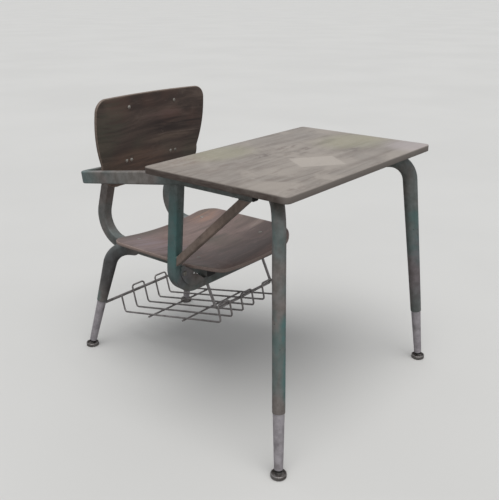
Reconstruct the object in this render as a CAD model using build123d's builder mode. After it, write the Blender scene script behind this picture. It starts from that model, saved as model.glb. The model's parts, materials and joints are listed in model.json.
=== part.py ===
"""Combination classroom desk and chair.

A plywood seat and back ride on two bent square tubes.  A post at the sitter's right joins
them to the desktop, and a wire book basket hangs under the seat.  The desktop's front edge
stands on two splayed legs and the chair's rear on two more, each with a swivel glide.

Frame: +X is the sitter's left, -Y is where the sitter looks, +Z is up.  The origin lies on
the floor, at the middle of the bounding box.  All sizes are millimetres.
"""
from build123d import *
from math import atan, cos, radians, sin, sqrt, tan
import os

os.makedirs("parts", exist_ok=True)

# ---------------------------------------------------------------- driving dimensions
DESK_WIDTH = 615.0
DESK_DEPTH = 392.0
DESK_TOP_Z = 616.0
DESK_CENTRE_Y = -185.5
DESK_FRONT_CORNER_R = 14.0
DESK_REAR_CORNER_R = 9.0
LAMINATE = 1.0
DESK_CORE = 14.5
EDGE_BAND = 1.5
DESK_UNDERSIDE_Z = DESK_TOP_Z - LAMINATE - DESK_CORE

SEAT_WIDTH = 397.0
SEAT_FRONT_Y = -69.0
SEAT_REAR_Y = 284.0
SEAT_PLY = 9.0
SEAT_UNDERSIDE_Z = 333.0          # where the rails carry it
SEAT_DISH_R = 1100.0              # side to side hollow
SEAT_FRONT_BEND = (95.0, 28.0)    # radius and angle of the rolled front edge
SEAT_REAR_BEND = (160.0, 8.0)
SEAT_FRONT_CORNER_R = 84.0
SEAT_REAR_CORNER_R = 50.0

BACK_TOP_Z = 723.0
BACK_BOTTOM_Z = 478.0
BACK_PLY = 8.0
BACK_FACE_Y = 299.5               # front face at the back's reference height
BACK_REFERENCE_Z = 690.0
BACK_LEAN = 5.0                   # the top leans towards the desk
BACK_CURVE_R = 2500.0
STRAP = 3.0                       # steel straps that carry the back
STRAP_HEIGHT = 34.0
STRAP_REACH = 146.0               # each side of the middle
STRAP_CORNER = 12.0
STRAP_Z = (545.0, 690.0)
BACK_RIVETS = ((75.0, 545.0), (93.0, 545.0), (84.0, 690.0))  # (x, z) on each side
BACK_RIVET_R = 5.0
SEAT_RIVETS_Y = (20.0, 242.0)
SEAT_RIVET_R = 5.5
RIVET_HEIGHT = 2.0
RIVET_LIFT = 0.4                  # keeps a rivet's flat base off the curved sheet

RAIL = 28.0                       # square tube of the seat rails and uprights
WALL = 1.6
RAIL_CORNER = 3.0
RAIL_X = 126.5
RAIL_FRONT_Y = -20.0
UPRIGHT_LEAN = 17.0
UPRIGHT_BEND_R = 71.5
UPRIGHT_KNEE_R = 60.0
UPRIGHT_REAR_Y = 378.5            # rearmost point of the tube's centre line
UPRIGHT_TOP_Z = 700.0
PLUG_HEAD = 2.0                   # plastic plugs in the tubes' ends
PLUG_INSERT = 12.0
PLUG_MARGIN = 0.3
PLUG_CORNER = 2.0

POST_WIDTH = 25.0                 # along X on the post, along Z on the cross rail
POST_DEPTH = 28.0
POST_X = -237.5
POST_LEAN = 5.0
POST_BEND_R = 67.5
CROSS_RAIL_Y = 2.6
POST_REACH = 320.0                # length drawn before it is cut under the arm

ARM_HEIGHT = 32.0
ARM_WIDTH = 19.0
ARM_DESK_X = -239.0
ARM_FRONT_Y = -250.0
ARM_REAR_X = -205.0
ARM_REAR_Y = 364.0
ARM_WELD_Y = 358.0                # where it meets the upright's side
ARM_REAR_Z = 514.0
ARM_KNEE_Y = -37.5
ARM_BENDS = (24.0, 60.0)          # rear corner and knee
ARM_CORNER = 3.5
ARM_SCREWS_Y = (-75.0, -190.0)

BRACE = 19.0
BRACE_LEAN = 42.5                 # slope of the brace above the horizontal
BRACE_FOOT_Z = 378.0
BRACE_CORNER = 2.5

GUSSET_R = 62.5                   # its outer edge follows the post's bend
GUSSET_TOP = (-222.0, 72.0)       # corners, hole and bolt, from the cross rail's centre line
GUSSET_TOE = (-146.0, 13.0)
GUSSET_HOLE = (-184.0, 40.0)
GUSSET_HOLE_R = 3.2
GUSSET_BOLT = (-222.0, 52.0)
BOLT_HEAD_R = 6.0
BOLT_HEAD = 5.0

FRONT_FOOT = (332.5, -390.3)
REAR_FOOT = (198.6, 390.3)
FRONT_SPLAY = 7.4                 # lean of the straight leg from the vertical
REAR_SPLAY = 16.1
FRONT_HEADING = 42.0              # plan angle of a leg's bend plane, from the X axis
REAR_HEADING = 65.0
LEG_WIDTH = 28.0                  # across the bend plane
LEG_BREADTH = 38.0                # in the bend plane, at the top
FRONT_LEG_BEND_R = 62.0
REAR_LEG_BEND_R = 66.0
FRONT_LEG_RUN = 205.0             # level length past the knee, under the desktop
REAR_LEG_RUN = 92.0               # before it is cut at the seat rail
REAR_LEG_LINE_Z = 315.5           # centre line of the level part
LEG_LOW_Z = 150.0                 # where the plated end starts
LEG_END_TOP_R = 12.75
LEG_END_LOW_R = 10.0
LEG_END_MOUTH = 12.0              # its open end, above the glide's ball
LEG_END_INSERT = 35.0             # pushed up inside the painted tube
PIVOT_Z = 7.5                     # ball centre of a glide
BALL_R = 5.0
SOCKET_R = 5.3
STUD_R = 3.2
STUD_PLUG = (13.0, 30.0)          # the plug in the leg's end, from and to, above the ball
CUSHION_R = 8.5
CUSHION = (6.2, 4.6)              # height above the ball, thickness
GLIDE_R = 17.5
GLIDE_HEIGHT = 10.5
GLIDE_WELL = 4.5                  # floor of the dish round the socket
SOCKET_NECK = (7.2, 6.9, 9.0)     # low radius, top radius, height

LEG_PLATE = (100.0, 60.0)         # between each front leg and the desktop
LEG_PLATE_CORNER = 8.0
LEG_PLATE_REACH = 150.0           # middle of the plate, past the knee
SCREW_SPACING = (84.0, 46.0)
SCREW_HOLE_R = 2.6
SCREW_SHANK_R = 2.2
SCREW_HEAD_R = 4.6
SCREW_HEAD = 2.4

WIRE_R = 2.5
WIRE_PITCH = 46.0
WIRE_COUNT = 6
REAR_ROD_R = 4.0
FRONT_ROD_R = 3.75
WIRE_BEND_R = 8.0
ROD_BEND_R = 10.0
ROD_REACH = 190.0                 # the rear rod is drawn this far, then cut at the legs
REAR_ROD_Z = 139.0
FRONT_ROD_Z = 209.0
HANGER_SETBACK = 5.0              # of the front rod's ends, behind the cross rail's middle
CROSS_WIRE_END = 8.0              # past the outermost wires
WIRE_GAP = 0.35
BASKET_REAR = (332.5, 94.0)       # (y, z) of the floor's rear corner
BASKET_FRONT = (-40.5, 175.0)     # (y, z) of the floor's front corner
BASKET_REAR_TOP = (349.5, 158.0)
BASKET_FRONT_TOP = (-30.5, 220.0)
CROSS_WIRE_Y = (225.0, 92.0)

PLATE = 3.0
FIT = 0.15                        # gap left between pieces that are welded or pressed
SMALL_FILLET = 0.8
SLIVER = 0.2                      # least flat left on a round tube's sketch
CUT_MARGIN = 60.0                 # how far a cutting outline reaches past a sheet


def put(part, name):
    """Label a finished piece and write it to its own file."""
    part.label = name
    export_step(part, f"parts/{name}.step")


def rounded_bar(width, height, corner, wall=0.0):
    """Rounded rectangle, hollow when a wall is given.  Used inside a sketch."""
    RectangleRounded(width, height, corner)
    if wall:
        inner_corner = max(corner - wall, 0.8)
        RectangleRounded(width - 2 * wall, height - 2 * wall, inner_corner, mode=Mode.SUBTRACT)


def path_start(path, x_dir):
    """Plane across the start of a path."""
    return Plane(origin=path @ 0, x_dir=x_dir, z_dir=path % 0)


def end_plug(name, plane, width, height):
    """Plastic plug that closes a tube; the plane's normal points out of the tube."""
    with BuildPart() as plug:
        with BuildSketch(plane):
            RectangleRounded(width - 2 * PLUG_MARGIN, height - 2 * PLUG_MARGIN, RAIL_CORNER)
        extrude(amount=PLUG_HEAD)
        fillet(plug.faces().sort_by(Axis(plane.origin, plane.z_dir))[-1].edges(), radius=SMALL_FILLET)
        inside = 2 * (WALL + FIT)
        with BuildSketch(plane):
            RectangleRounded(width - inside, height - inside, PLUG_CORNER)
        extrude(amount=-PLUG_INSERT)
    put(plug.part, name)


# ---------------------------------------------------------------- desktop


def desk_outline(inset):
    """Desktop outline as a face, rounder at its front corners."""
    half_x = DESK_WIDTH / 2 - inset
    half_y = DESK_DEPTH / 2 - inset
    front_y, rear_y = DESK_CENTRE_Y - half_y, DESK_CENTRE_Y + half_y
    front_r, rear_r = DESK_FRONT_CORNER_R - inset, DESK_REAR_CORNER_R - inset
    with BuildSketch() as outline:
        with BuildLine():
            FilletPolyline((-half_x, front_y), (half_x, front_y), (half_x, rear_y), (-half_x, rear_y),
                           radius=[front_r, front_r, rear_r, rear_r], close=True)
        make_face()
    return outline.sketch


desk_level = Plane.XY.offset(DESK_UNDERSIDE_Z)

with BuildPart() as desk_core:
    with BuildSketch(desk_level):
        add(desk_outline(EDGE_BAND))
    extrude(amount=DESK_CORE)

with BuildPart() as desk_laminate:
    with BuildSketch(desk_level.offset(DESK_CORE)):
        add(desk_outline(0))
    extrude(amount=LAMINATE)

with BuildPart() as desk_edge_band:
    with BuildSketch(desk_level):
        add(desk_outline(0))
    extrude(amount=DESK_CORE)
    with BuildSketch(desk_level):
        add(desk_outline(EDGE_BAND))
    extrude(amount=DESK_CORE, mode=Mode.SUBTRACT)

put(desk_core.part, "desk_core")
put(desk_laminate.part, "desk_laminate")
put(desk_edge_band.part, "desk_edge_band")

# ---------------------------------------------------------------- arm rail
# One flat-sided tube: out from the right upright, round a rear corner, up along the arm to the
# post's top, then level under the desktop.
arm_level_z = DESK_UNDERSIDE_Z - ARM_HEIGHT / 2
arm_points = [
    Vector(-RAIL_X, ARM_WELD_Y, ARM_REAR_Z),
    Vector(ARM_REAR_X, ARM_REAR_Y, ARM_REAR_Z),
    Vector(ARM_DESK_X, ARM_KNEE_Y, arm_level_z),
    Vector(ARM_DESK_X, ARM_FRONT_Y, arm_level_z),
]
arm_rear_run = arm_points[1] - arm_points[0]
arm_rise = arm_points[2] - arm_points[1]
arm_tall = arm_rear_run.cross(arm_rise).normalized()

with BuildPart() as arm_rail:
    with BuildLine():
        arm_path = FilletPolyline(*arm_points, radius=ARM_BENDS)
    with BuildSketch(path_start(arm_path, arm_tall)):
        rounded_bar(ARM_HEIGHT, ARM_WIDTH, ARM_CORNER, WALL)
    sweep(path=arm_path)
    split(bisect_by=Plane(origin=(-RAIL_X - RAIL / 2 - FIT, 0, 0), z_dir=(-1, 0, 0)), keep=Keep.TOP)

put(arm_rail.part, "arm_rail")

arm_end = Plane(origin=arm_path @ 1, x_dir=(0, 0, 1), z_dir=(0, -1, 0))
end_plug("arm_end_plug", arm_end, ARM_HEIGHT, ARM_WIDTH)

# ---------------------------------------------------------------- post and front cross rail
# One tube, bent in a plane that leans towards the desk.
post_tall = Vector(0, -sin(radians(POST_LEAN)), cos(radians(POST_LEAN)))
rail_underside_z = SEAT_UNDERSIDE_Z - RAIL
cross_half_height = POST_WIDTH / 2 * cos(radians(POST_LEAN)) + POST_DEPTH / 2 * sin(radians(POST_LEAN))
cross_rail_z = rail_underside_z - cross_half_height
post_origin = Vector(0, CROSS_RAIL_Y, cross_rail_z)
post_plane = Plane(origin=post_origin, x_dir=(1, 0, 0), z_dir=Vector(1, 0, 0).cross(post_tall))
cross_rail_end_x = RAIL_X + RAIL / 2

with BuildPart() as post_cross_rail:
    with BuildLine(post_plane):
        post_corners = [(cross_rail_end_x, 0), (POST_X, 0), (POST_X, POST_REACH)]
        post_path = FilletPolyline(*post_corners, radius=POST_BEND_R)
    with BuildSketch(path_start(post_path, (0, cos(radians(POST_LEAN)), sin(radians(POST_LEAN))))):
        rounded_bar(POST_DEPTH, POST_WIDTH, RAIL_CORNER, WALL)
    sweep(path=post_path)
    # the post is cut to the slope of the arm that lands on it
    arm_below = arm_points[2] - arm_tall * (ARM_HEIGHT / 2 + FIT)
    split(bisect_by=Plane(origin=arm_below, z_dir=arm_tall), keep=Keep.BOTTOM)
    split(bisect_by=Plane.XY.offset(DESK_UNDERSIDE_Z - ARM_HEIGHT - FIT), keep=Keep.BOTTOM)

put(post_cross_rail.part, "post_cross_rail")


cross_rail_deep = (0, cos(radians(POST_LEAN)), sin(radians(POST_LEAN)))
cross_rail_end = Plane(post_path @ 0, x_dir=cross_rail_deep, z_dir=(1, 0, 0))
end_plug("cross_rail_plug", cross_rail_end, POST_DEPTH, POST_WIDTH)

# ---------------------------------------------------------------- gusset in the bend's corner
gusset_face = post_plane.offset(POST_DEPTH / 2 + FIT)
bend_centre = Vector(POST_X + POST_BEND_R, POST_BEND_R)

with BuildPart() as gusset_plate:
    with BuildSketch(gusset_face):
        with BuildLine():
            corner_arc = CenterArc(bend_centre, GUSSET_R, 180, 90)
            Polyline(corner_arc @ 1, (GUSSET_TOE[0], bend_centre.Y - GUSSET_R), GUSSET_TOE, GUSSET_TOP,
                     (bend_centre.X - GUSSET_R, GUSSET_TOP[1]), corner_arc @ 0)
        make_face()
        with Locations(GUSSET_HOLE):
            Circle(GUSSET_HOLE_R, mode=Mode.SUBTRACT)
    extrude(amount=PLATE)

with BuildPart() as gusset_bolt:
    with BuildSketch(gusset_face.offset(PLATE + FIT)):
        with Locations(GUSSET_BOLT):
            RegularPolygon(BOLT_HEAD_R, 6)
    extrude(amount=BOLT_HEAD)
    fillet(gusset_bolt.faces().sort_by(Axis.Y)[0].edges(), radius=SMALL_FILLET)

put(gusset_plate.part, "gusset_plate")
put(gusset_bolt.part, "gusset_bolt")

# ---------------------------------------------------------------- diagonal brace
post_front_slope = tan(radians(POST_LEAN))
brace_run = cos(radians(BRACE_LEAN))
brace_top_z = DESK_UNDERSIDE_Z - ARM_HEIGHT - FIT


def post_front_y(z):
    """Front face of the post at a height, just clear of the tube."""
    half_depth = POST_DEPTH / 2 / cos(radians(POST_LEAN))
    return CROSS_RAIL_Y - (z - cross_rail_z) * post_front_slope - half_depth - FIT


def brace_outline(thickness):
    """Corners (y, z) of the brace between the post and the arm rail."""
    rise = tan(radians(BRACE_LEAN))
    half = thickness / 2 / brace_run
    corners = []
    for side in (-1, 1):
        foot_z = BRACE_FOOT_Z + side * half
        top_y = post_front_y(BRACE_FOOT_Z) - (brace_top_z - foot_z) / rise
        corners.append([(post_front_y(foot_z), foot_z), (top_y, brace_top_z)])
    (low_foot, low_top), (high_foot, high_top) = corners
    return [low_foot, low_top, high_top, high_foot]


def runs_uphill(edge):
    """True for the long edges of the brace."""
    along = edge.tangent_at(0)
    return abs(along.Y) > 0.5 and abs(along.Z) > 0.5


with BuildPart() as diagonal_brace:
    with BuildSketch(Plane.YZ.offset(ARM_DESK_X)):
        with BuildLine():
            Polyline(*brace_outline(BRACE), close=True)
        make_face()
    extrude(amount=BRACE / 2, both=True)
    fillet(diagonal_brace.edges().filter_by(runs_uphill), radius=BRACE_CORNER)
    with BuildSketch(Plane.YZ.offset(ARM_DESK_X)):
        with BuildLine():
            Polyline(*brace_outline(BRACE - 2 * WALL), close=True)
        make_face()
    extrude(amount=BRACE / 2 - WALL, both=True, mode=Mode.SUBTRACT)

put(diagonal_brace.part, "diagonal_brace")

# ---------------------------------------------------------------- seat rails and uprights
back_slope = tan(radians(BACK_LEAN))
upright_slope = tan(radians(UPRIGHT_LEAN))
rail_z = SEAT_UNDERSIDE_Z - RAIL / 2
bend_turn = radians(90 + UPRIGHT_LEAN)
bend_start_y = UPRIGHT_REAR_Y - UPRIGHT_BEND_R
rail_corner_y = bend_start_y + UPRIGHT_BEND_R * tan(bend_turn / 2)


def back_face_y(z):
    """Front face of the back at its middle, at a height."""
    return BACK_FACE_Y + (BACK_REFERENCE_Z - z) * back_slope


upright_setback = (BACK_PLY + STRAP + RAIL / 2 + 2 * FIT) / cos(radians(BACK_LEAN))
side_rise = (RAIL_X - RAIL / 2) ** 2 / (2 * BACK_CURVE_R)
upright_top_y0 = back_face_y(0) + upright_setback - side_rise
knee_z = (rail_corner_y + rail_z * upright_slope - upright_top_y0) / (upright_slope - back_slope)
knee_y = upright_top_y0 - knee_z * back_slope
upright_top_y = upright_top_y0 - UPRIGHT_TOP_Z * back_slope


def seat_rail(x):
    """Square tube that runs back under the seat and up behind the sitter."""
    with BuildPart() as rail:
        with BuildLine(Plane(origin=(x, 0, 0), x_dir=(0, 1, 0), z_dir=(1, 0, 0))):
            path = FilletPolyline(
                (RAIL_FRONT_Y, rail_z),
                (rail_corner_y, rail_z),
                (knee_y, knee_z),
                (upright_top_y, UPRIGHT_TOP_Z),
                radius=[UPRIGHT_BEND_R, UPRIGHT_KNEE_R],
            )
        with BuildSketch(path_start(path, (1, 0, 0))):
            rounded_bar(RAIL, RAIL, RAIL_CORNER, WALL)
        sweep(path=path)
    return rail.part


back_up = Vector(0, -sin(radians(BACK_LEAN)), cos(radians(BACK_LEAN)))
for side, x in (("right", -RAIL_X), ("left", RAIL_X)):
    front_end = Plane((x, RAIL_FRONT_Y, rail_z), x_dir=(1, 0, 0), z_dir=(0, -1, 0))
    top_end = Plane((x, upright_top_y, UPRIGHT_TOP_Z), x_dir=(1, 0, 0), z_dir=back_up)
    put(seat_rail(x), f"seat_rail_{side}")
    end_plug(f"rail_plug_{side}", front_end, RAIL, RAIL)
    end_plug(f"upright_plug_{side}", top_end, RAIL, RAIL)

# ---------------------------------------------------------------- seat
front_r, front_angle = SEAT_FRONT_BEND
rear_r, rear_angle = SEAT_REAR_BEND
rail_touch_x = RAIL_X - RAIL / 2 + 1  # the hollow seat rests on the inner edge of each rail
seat_middle_z = SEAT_UNDERSIDE_Z - rail_touch_x**2 / (2 * SEAT_DISH_R) + FIT
rear_flat_y = SEAT_REAR_Y - rear_r * sin(radians(rear_angle))
front_drop = front_r * (1 - cos(radians(front_angle)))
SEAT_REACH = SEAT_WIDTH / 2 + 10
dish_rise = SEAT_REACH**2 / (2 * SEAT_DISH_R)

with BuildPart() as seat_shell:
    with BuildLine(Plane.YZ) as seat_path:
        front_bend = JernArc((SEAT_FRONT_Y, seat_middle_z - front_drop),
                             (cos(radians(front_angle)), sin(radians(front_angle))), front_r, -front_angle)
        flat = Line(front_bend @ 1, (rear_flat_y, seat_middle_z))
        JernArc(flat @ 1, (1, 0), rear_r, rear_angle)
    seat_line = seat_path.wires()[0]
    with BuildSketch(Plane(origin=front_bend @ 0, x_dir=(1, 0, 0), z_dir=-(front_bend % 0))):
        with BuildLine():
            top_rise = dish_rise + SEAT_PLY
            under = ThreePointArc((-SEAT_REACH, dish_rise), (0, 0), (SEAT_REACH, dish_rise))
            over = ThreePointArc((SEAT_REACH, top_rise), (0, SEAT_PLY), (-SEAT_REACH, top_rise))
            Line(under @ 1, over @ 0)
            Line(over @ 1, under @ 0)
        make_face()
    sweep(path=seat_line)
    with BuildSketch(Plane.XY.offset(SEAT_UNDERSIDE_Z - CUT_MARGIN)):
        with BuildLine():
            FilletPolyline(
                (-SEAT_WIDTH / 2, SEAT_FRONT_Y),
                (-SEAT_WIDTH / 2, SEAT_REAR_Y),
                (SEAT_WIDTH / 2, SEAT_REAR_Y),
                (SEAT_WIDTH / 2, SEAT_FRONT_Y),
                radius=[SEAT_REAR_CORNER_R, SEAT_REAR_CORNER_R, SEAT_FRONT_CORNER_R, SEAT_FRONT_CORNER_R],
                close=True,
            )
        make_face()
    extrude(amount=2 * CUT_MARGIN, mode=Mode.INTERSECT)

put(seat_shell.part, "seat_shell")

# ---------------------------------------------------------------- back
BACK_REACH = 230.0                # the sheet is cut from a band this wide each side
back_cut = Plane.XZ.offset(-back_face_y(BACK_TOP_Z) - CUT_MARGIN)


def back_band(face_offset, thickness, low_z, high_z):
    """Gently curved upright sheet that follows the back, at a distance behind its front face."""
    low = Vector(0, back_face_y(low_z), low_z)
    sag = BACK_REACH**2 / (2 * BACK_CURVE_R)
    with BuildPart() as band:
        with BuildSketch(Plane(origin=low, x_dir=(1, 0, 0), z_dir=back_up)):
            with BuildLine():
                near, far = face_offset, face_offset + thickness
                front = ThreePointArc((-BACK_REACH, near - sag), (0, near), (BACK_REACH, near - sag))
                rear = ThreePointArc((BACK_REACH, far - sag), (0, far), (-BACK_REACH, far - sag))
                Line(front @ 1, rear @ 0)
                Line(rear @ 1, front @ 0)
            make_face()
        extrude(amount=(high_z - low_z) / cos(radians(BACK_LEAN)))
    return band.part


with BuildPart() as backrest_shell:
    add(back_band(0, BACK_PLY, BACK_BOTTOM_Z - 10, BACK_TOP_Z + 10))
    with BuildSketch(back_cut):
        with BuildLine():
            crown = ThreePointArc((-164, BACK_TOP_Z - 2), (0, BACK_TOP_Z), (164, BACK_TOP_Z - 2))
            corner = ThreePointArc(crown @ 1, (189, BACK_TOP_Z - 12), (200, BACK_TOP_Z - 38))
            side = ThreePointArc(corner @ 1, (197.5, 612), (181, 546))
            toe = ThreePointArc(side @ 1, (160, 490), (118, BACK_BOTTOM_Z + 1))
            Line(toe @ 1, (0, BACK_BOTTOM_Z))
            mirror(about=Plane.YZ)
        make_face()
    extrude(amount=2 * CUT_MARGIN, mode=Mode.INTERSECT)

put(backrest_shell.part, "backrest_shell")

for name, z in zip(("back_strap_lower", "back_strap_upper"), STRAP_Z):
    with BuildPart() as strap:
        add(back_band(BACK_PLY + FIT, STRAP, z - STRAP_HEIGHT / 2, z + STRAP_HEIGHT / 2))
        with BuildSketch(back_cut):
            with Locations((0, z)):
                RectangleRounded(2 * STRAP_REACH, STRAP_HEIGHT - SLIVER, STRAP_CORNER)
        extrude(amount=2 * CUT_MARGIN, mode=Mode.INTERSECT)
    put(strap.part, name)


# ---------------------------------------------------------------- rivets and screws
def rivet(at, normal, head_r, head_height):
    """Low domed head standing on a surface; the normal points out of it."""
    base = Plane(origin=at, z_dir=normal)
    profile = Plane(origin=at, x_dir=base.x_dir, z_dir=base.y_dir * -1)
    dome_r = (head_r**2 + head_height**2) / (2 * head_height)
    mid_r = head_r / sqrt(2)
    mid_height = sqrt(dome_r**2 - mid_r**2) - (dome_r - head_height)
    with BuildPart() as head:
        with BuildSketch(profile):
            with BuildLine():
                Line((0, 0), (head_r, 0))
                dome = ThreePointArc((head_r, 0), (mid_r, mid_height), (0, head_height))
                Line(dome @ 1, (0, 0))
            make_face()
        revolve(axis=Axis(at, base.z_dir))
    return head.part


def back_surface_y(x, z):
    return back_face_y(z) - x**2 / (2 * BACK_CURVE_R)


back_rivet_spots = [(side * x, z) for side in (-1, 1) for x, z in BACK_RIVETS]
back_normal = Vector(0, -cos(radians(BACK_LEAN)), -sin(radians(BACK_LEAN)))
back_rivets = [
    rivet(Vector(x, back_surface_y(x, z) - RIVET_LIFT, z), back_normal, BACK_RIVET_R, RIVET_HEIGHT)
    for x, z in back_rivet_spots
]
put(Compound(children=back_rivets), "backrest_rivets")

seat_rivet_spots = [(side * RAIL_X, y) for side in (-1, 1) for y in SEAT_RIVETS_Y]
seat_top_z = seat_middle_z + RAIL_X**2 / (2 * SEAT_DISH_R) + SEAT_PLY
seat_rivets = [
    rivet(Vector(x, y, seat_top_z + RIVET_LIFT), Vector(-x / SEAT_DISH_R, 0, 1), SEAT_RIVET_R, RIVET_HEIGHT)
    for x, y in seat_rivet_spots
]
put(Compound(children=seat_rivets), "seat_rivets")


# ---------------------------------------------------------------- legs and glides
class Leg:
    """Directions and heights of one splayed leg, from its foot to its bend."""

    def __init__(self, foot, heading, splay, line_z, bend_r, run):
        self.foot = Vector(*foot, 0)
        inward = Vector(-1 if foot[0] > 0 else 1, 1 if foot[1] < 0 else -1)
        plan = Vector(cos(radians(heading)) * inward.X, sin(radians(heading)) * inward.Y, 0)
        self.plane = Plane(origin=self.foot, x_dir=plan, z_dir=(plan.Y, -plan.X, 0))
        self.slope = tan(radians(splay))
        self.splay = radians(splay)
        self.line_z = line_z
        self.bend_r = bend_r
        self.run = run

    def reach(self, z):
        """Distance from the foot along the plan direction, at a height."""
        return (z - PIVOT_Z) * self.slope

    def frame(self, z):
        """Plane across the leg at a height: x across the bend plane, z along the leg."""
        along = self.plane.from_local_coords(Vector(sin(self.splay), cos(self.splay), 0)) - self.foot
        origin = self.plane.from_local_coords(Vector(self.reach(z), z, 0))
        return Plane(origin=origin, x_dir=self.plane.z_dir, z_dir=along)

    def path(self):
        """Centre line from the plated end up, round the bend and along the run."""
        low = (self.reach(LEG_LOW_Z), LEG_LOW_Z)
        knee = self.reach(self.line_z)
        return FilletPolyline(low, (knee, self.line_z), (knee + self.run, self.line_z), radius=self.bend_r)


def painted_leg(leg, meets_rail):
    """Tube that is round below and flat-sided above, bent to run level at its top.

    One that meets a seat rail is cut off at the rail's outer side.
    """
    tangent = leg.bend_r * tan((radians(90) - leg.splay) / 2)
    bend_z = leg.line_z - tangent * cos(leg.splay)
    low, high = leg.frame(LEG_LOW_Z), leg.frame(bend_z)
    with BuildPart() as tube:
        with BuildLine(leg.plane):
            path = leg.path()
        curve = path.edges()[1:]
        for wall, mode in ((0.0, Mode.ADD), (WALL, Mode.SUBTRACT)):
            width = LEG_WIDTH - 2 * wall
            with BuildSketch(low):
                RectangleRounded(width, width + 2 * SLIVER, width / 2 - SLIVER / 2)
            with BuildSketch(high):
                RectangleRounded(width, LEG_BREADTH - 2 * wall, width / 2 - SLIVER / 2)
            loft(mode=mode)
            with BuildSketch(high):
                RectangleRounded(width, LEG_BREADTH - 2 * wall, width / 2 - SLIVER / 2)
            sweep(path=Wire(curve), mode=mode)
        if meets_rail:
            side = 1 if leg.foot.X > 0 else -1
            rail_side = Plane(origin=(side * (RAIL_X + RAIL / 2 + FIT), 0, 0), z_dir=(side, 0, 0))
            split(bisect_by=rail_side, keep=Keep.TOP)
    return tube.part


def plated_end(leg):
    """Tapered end, pushed up inside the painted tube."""
    start = leg.frame(PIVOT_Z)
    length = (LEG_LOW_Z - PIVOT_Z) / cos(leg.splay)
    insert_r = LEG_WIDTH / 2 - WALL - FIT
    with BuildPart() as end:
        with BuildSketch(Plane(origin=start.origin, x_dir=start.x_dir, z_dir=start.y_dir * -1)):
            with BuildLine():
                Polyline(
                    (LEG_END_LOW_R - WALL, LEG_END_MOUTH),
                    (LEG_END_LOW_R - WALL / 2, LEG_END_MOUTH - WALL / 2),
                    (LEG_END_LOW_R, LEG_END_MOUTH),
                    (LEG_END_TOP_R, length - FIT),
                    (insert_r, length - FIT),
                    (insert_r, length + LEG_END_INSERT),
                    (insert_r - WALL, length + LEG_END_INSERT),
                    (insert_r - WALL, length - FIT),
                    close=True,
                )
            make_face()
        revolve(axis=Axis(start.origin, start.z_dir))
    return end.part


def glide_stem(leg):
    """Ball stud and the plug that holds it in the leg's end."""
    start = leg.frame(PIVOT_Z)
    plug_r = LEG_END_LOW_R - WALL - FIT
    low, high = STUD_PLUG
    with BuildPart() as stem:
        with BuildSketch(Plane(origin=start.origin, x_dir=start.x_dir, z_dir=start.y_dir * -1)):
            with BuildLine():
                ball = ThreePointArc((0, -BALL_R), (BALL_R, 0), (STUD_R, sqrt(BALL_R**2 - STUD_R**2)))
                Polyline(ball @ 1, (STUD_R, low), (plug_r, low), (plug_r, high), (0, high), (0, -BALL_R))
            make_face()
        revolve(axis=Axis(start.origin, start.z_dir))
    return stem.part


def glide_cushion(leg):
    """Rubber collar round the stud, under the leg's end."""
    height, thickness = CUSHION
    with BuildPart() as cushion:
        with BuildSketch(leg.frame(PIVOT_Z).offset(height)):
            Circle(CUSHION_R)
            Circle(STUD_R + FIT, mode=Mode.SUBTRACT)
        extrude(amount=thickness)
    return cushion.part


def glide_foot(leg):
    """Dished steel foot with a socket for the ball."""
    centre = Vector(leg.foot.X, leg.foot.Y, 0)
    neck_low_r, neck_top_r, neck_z = SOCKET_NECK
    with BuildPart() as foot:
        with BuildSketch(Plane(origin=centre, x_dir=(1, 0, 0), z_dir=(0, -1, 0))):
            with BuildLine():
                Polyline(
                    (0, 0),
                    (GLIDE_R - 2.5, 0),
                    (GLIDE_R, 2.5),
                    (GLIDE_R, GLIDE_HEIGHT - 1),
                    (GLIDE_R - 1, GLIDE_HEIGHT),
                    (GLIDE_R - 2, GLIDE_HEIGHT),
                    (GLIDE_R - 3.5, GLIDE_WELL),
                    (neck_low_r, GLIDE_WELL),
                    (neck_top_r, neck_z),
                    (0, neck_z),
                    close=True,
                )
            make_face()
        revolve(axis=Axis(centre, (0, 0, 1)))
        with Locations(centre + Vector(0, 0, PIVOT_Z)):
            Sphere(SOCKET_R, mode=Mode.SUBTRACT)
    return foot.part


front_line_z = DESK_UNDERSIDE_Z - PLATE - FIT - LEG_BREADTH / 2
FRONT_SHAPE = (FRONT_HEADING, FRONT_SPLAY, front_line_z, FRONT_LEG_BEND_R, FRONT_LEG_RUN)
REAR_SHAPE = (REAR_HEADING, REAR_SPLAY, REAR_LEG_LINE_Z, REAR_LEG_BEND_R, REAR_LEG_RUN)
legs = {
    "front_right": Leg((-FRONT_FOOT[0], FRONT_FOOT[1]), *FRONT_SHAPE),
    "front_left": Leg(FRONT_FOOT, *FRONT_SHAPE),
    "rear_right": Leg((-REAR_FOOT[0], REAR_FOOT[1]), *REAR_SHAPE),
    "rear_left": Leg(REAR_FOOT, *REAR_SHAPE),
}
for name, leg in legs.items():
    put(painted_leg(leg, meets_rail=name.startswith("rear")), f"leg_{name}")
    put(plated_end(leg), f"leg_end_{name}")
    put(glide_stem(leg), f"glide_stem_{name}")
    put(glide_cushion(leg), f"glide_cushion_{name}")
    put(glide_foot(leg), f"glide_foot_{name}")

# ---------------------------------------------------------------- plates under the desktop
plate_level = DESK_UNDERSIDE_Z - PLATE
screws = []


def screw(x, y, z, shank):
    """Pan head under a surface, with as much of its shank as shows in the hole above it."""
    with BuildPart() as piece:
        add(rivet(Vector(x, y, z), Vector(0, 0, -1), SCREW_HEAD_R, SCREW_HEAD))
        if shank:
            with BuildSketch(Plane(origin=(x, y, z))):
                Circle(SCREW_SHANK_R)
            extrude(amount=shank)
    return piece.part


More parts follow.
